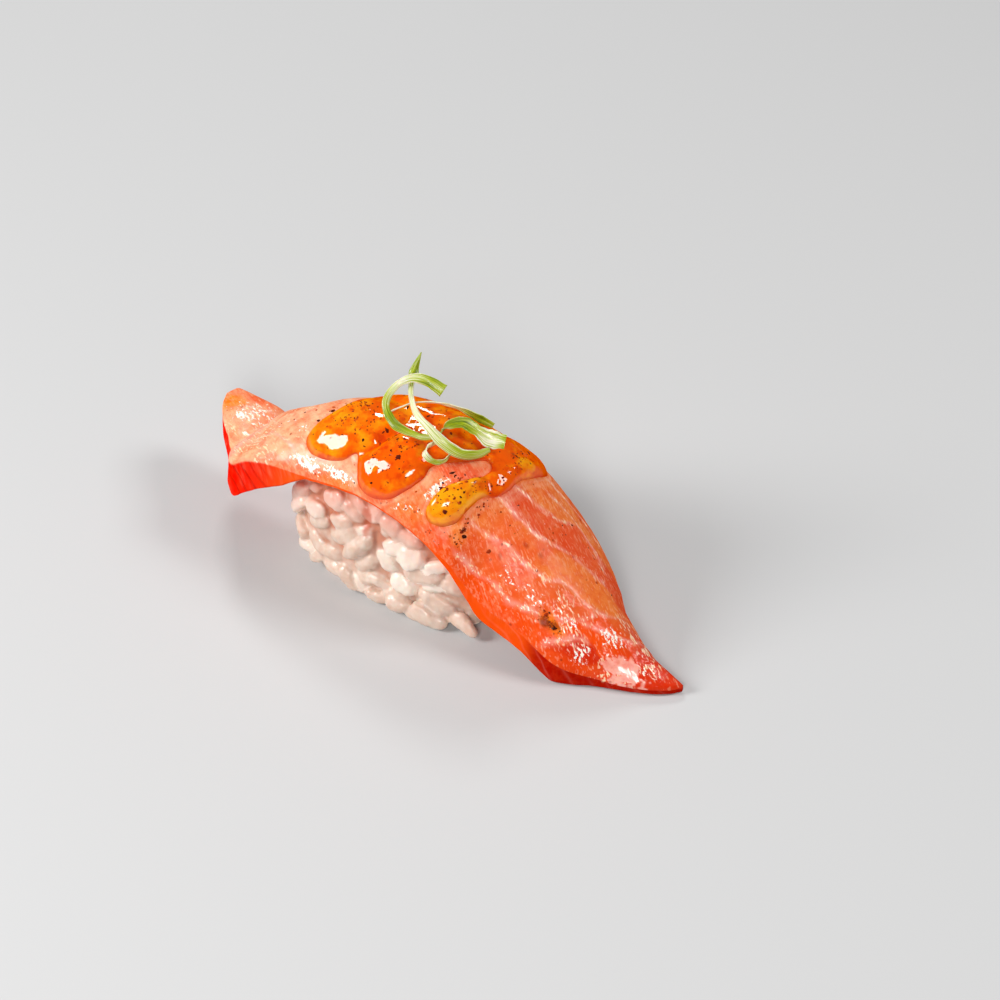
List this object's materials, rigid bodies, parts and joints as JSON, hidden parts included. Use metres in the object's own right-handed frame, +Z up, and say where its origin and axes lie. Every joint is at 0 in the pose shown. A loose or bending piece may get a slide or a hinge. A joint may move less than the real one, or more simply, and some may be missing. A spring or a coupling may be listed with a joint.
{
  "type": "salmon nigiri",
  "caption": "Salmon nigiri: a seared slice of salmon draped over a hand-pressed block of rice, with peppered glaze and curls of spring onion on top.",
  "frame": {"origin": "On the surface that the piece stands on, under the middle of its length and width.", "axes": "+X runs along the slice from its blunt head to its pointed tail, +Y to the long side where the slice hangs lowest, and +Z up."},
  "size_m": [0.0892, 0.028, 0.0374],
  "materials": {
    "rice": "moist",
    "salmon": "wet",
    "glaze": "wet",
    "onion": "satin"
  },
  "bodies": {
    "root": {"rice": "rice", "salmon": "salmon", "glaze": "glaze", "onion_curl_long": "onion", "onion_curl_loop": "onion", "onion_curl_arch": "onion", "onion_curl_strip": "onion", "onion_curl_small": "onion"}
  },
  "joints": []
}
